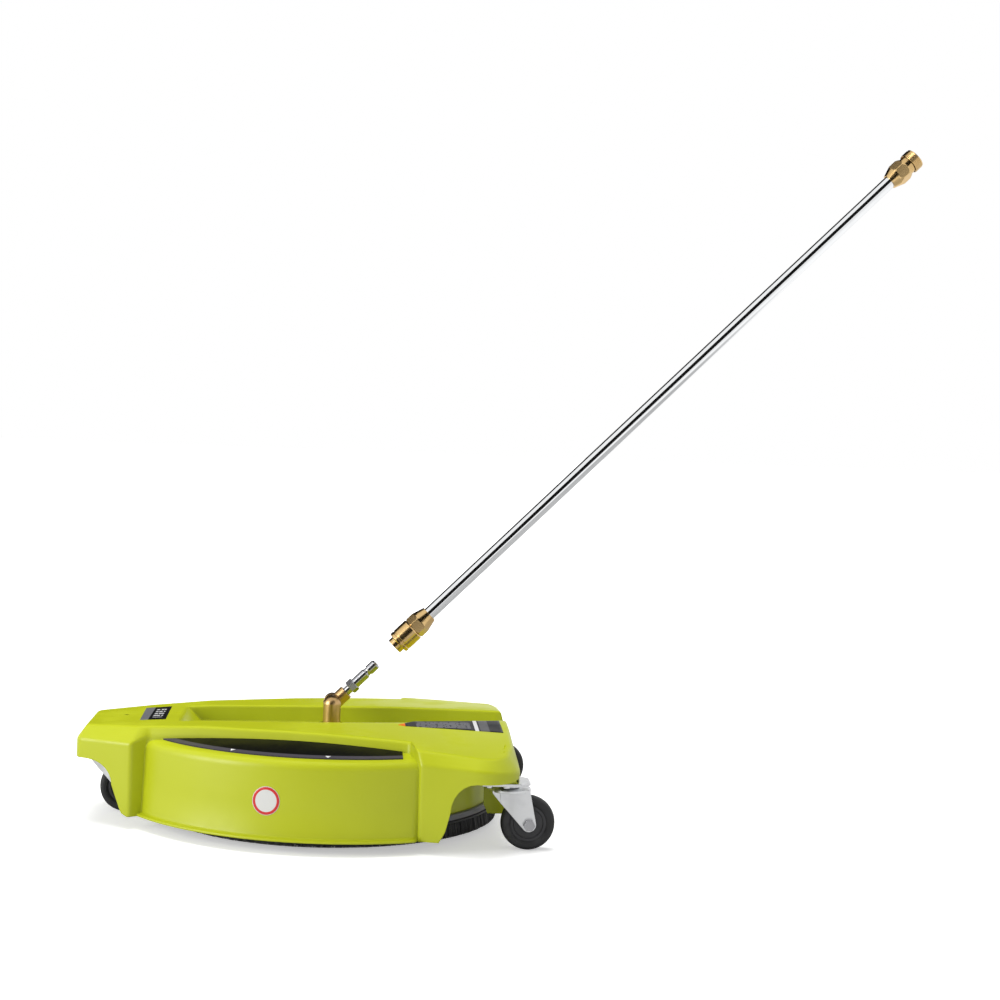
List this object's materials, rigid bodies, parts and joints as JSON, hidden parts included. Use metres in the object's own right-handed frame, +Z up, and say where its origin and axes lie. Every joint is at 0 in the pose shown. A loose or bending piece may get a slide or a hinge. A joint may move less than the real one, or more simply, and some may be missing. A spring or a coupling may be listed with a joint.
{
  "type": "rotary surface cleaner",
  "caption": "Wedge-shaped moulded deck on swivel casters with a round brush skirt, a spinning spray bar underneath, a hinged knuckle on top and a pull-off tubular wand.",
  "frame": {"origin": "on the floor, under the middle of the whole machine's length and width", "axes": "+X from the nose caster towards the tail casters and the wand's upper end, +Y to the far side, +Z up"},
  "size_m": [0.85, 0.36, 0.71],
  "materials": {
    "lime_moulding": "glossy",
    "black_panel": "glossy",
    "grey_band": "satin",
    "bristle_black": "matte",
    "brass": "polished",
    "chrome_tube": "mirror",
    "zinc_plate": "satin",
    "plated_steel": "satin",
    "bright_steel": "polished",
    "seal_rubber": "matte",
    "hub_plastic": "satin",
    "wheel_rubber": "matte"
  },
  "bodies": {
    "deck": {"deck_shell": "lime_moulding", "edge_panel_front": "black_panel", "edge_panel_back": "black_panel", "spray_chamber": "lime_moulding", "chamber_screws": "plated_steel", "brush_holder": "grey_band", "bristles_1": "bristle_black", "bristles_2": "bristle_black", "bristles_3": "bristle_black", "bristles_4": "bristle_black", "bristles_5": "bristle_black", "bristles_6": "bristle_black", "swivel_housing": "brass", "deck_washer": "plated_steel", "lock_nut": "brass", "bearing_upper": "bright_steel", "bearing_lower": "bright_steel", "shaft_seal": "seal_rubber", "snap_ring": "plated_steel", "inlet_elbow": "brass", "caster_screws": "plated_steel", "nose_caster_plate": "zinc_plate", "front_caster_plate": "zinc_plate", "back_caster_plate": "zinc_plate", "nose_kingpin": "zinc_plate", "front_kingpin": "zinc_plate", "back_kingpin": "zinc_plate"},
    "rotor": {"rotor_shaft": "bright_steel", "spray_hub": "brass", "spray_arms": "chrome_tube", "spray_nozzles": "brass"},
    "knuckle_arm": {"elbow_arm": "brass", "knuckle_seal": "seal_rubber", "quick_plug": "zinc_plate"},
    "wand": {"coupler_body": "brass", "coupler_spring": "bright_steel", "coupler_balls": "bright_steel", "coupler_seal": "seal_rubber", "wand_tube": "chrome_tube", "inlet_fitting": "brass"},
    "collar": {"coupler_collar": "brass"},
    "nose_swivel": {"nose_fork": "zinc_plate", "nose_axle": "zinc_plate", "nose_axle_nut": "plated_steel"},
    "nose_wheel": {"nose_wheel_hub": "hub_plastic", "nose_tyre": "wheel_rubber"},
    "front_swivel": {"front_fork": "zinc_plate", "front_axle": "zinc_plate", "front_axle_nut": "plated_steel"},
    "front_wheel": {"front_wheel_hub": "hub_plastic", "front_tyre": "wheel_rubber"},
    "back_swivel": {"back_fork": "zinc_plate", "back_axle": "zinc_plate", "back_axle_nut": "plated_steel"},
    "back_wheel": {"back_wheel_hub": "hub_plastic", "back_tyre": "wheel_rubber"}
  },
  "joints": [
    {"name": "bar_spin", "type": "hinge", "parent": "deck", "child": "rotor", "pos_m": [-0.17597, 0, 0.06], "axis": [0, 0, 1], "continuous": true},
    {"name": "wand_tilt", "type": "hinge", "parent": "deck", "child": "knuckle_arm", "pos_m": [-0.17597, 0.012, 0.1125], "axis": [0, 1, 0], "range_deg": [-110, 45]},
    {"name": "wand_pull", "type": "slide", "parent": "knuckle_arm", "child": "wand", "axis": [0.7071, 0, 0.7071], "range_m": [-0.0465, 0]},
    {"name": "collar_slide", "type": "slide", "parent": "wand", "child": "collar", "axis": [0.7071, 0, 0.7071], "range_m": [-0.0044, 0]},
    {"name": "nose_swivel_turn", "type": "hinge", "parent": "deck", "child": "nose_swivel", "pos_m": [-0.39897, 0, 0.058], "axis": [0, 0, 1], "continuous": true},
    {"name": "nose_wheel_roll", "type": "hinge", "parent": "nose_swivel", "child": "nose_wheel", "pos_m": [-0.38097, 0, 0.026], "axis": [0, 1, 0], "continuous": true},
    {"name": "front_swivel_turn", "type": "hinge", "parent": "deck", "child": "front_swivel", "pos_m": [-0.00447, -0.1373, 0.058], "axis": [0, 0, 1], "continuous": true},
    {"name": "front_wheel_roll", "type": "hinge", "parent": "front_swivel", "child": "front_wheel", "pos_m": [0.01353, -0.1373, 0.026], "axis": [0, 1, 0], "continuous": true},
    {"name": "back_swivel_turn", "type": "hinge", "parent": "deck", "child": "back_swivel", "pos_m": [-0.00447, 0.1373, 0.058], "axis": [0, 0, 1], "continuous": true},
    {"name": "back_wheel_roll", "type": "hinge", "parent": "back_swivel", "child": "back_wheel", "pos_m": [0.01353, 0.1373, 0.026], "axis": [0, 1, 0], "continuous": true}
  ]
}
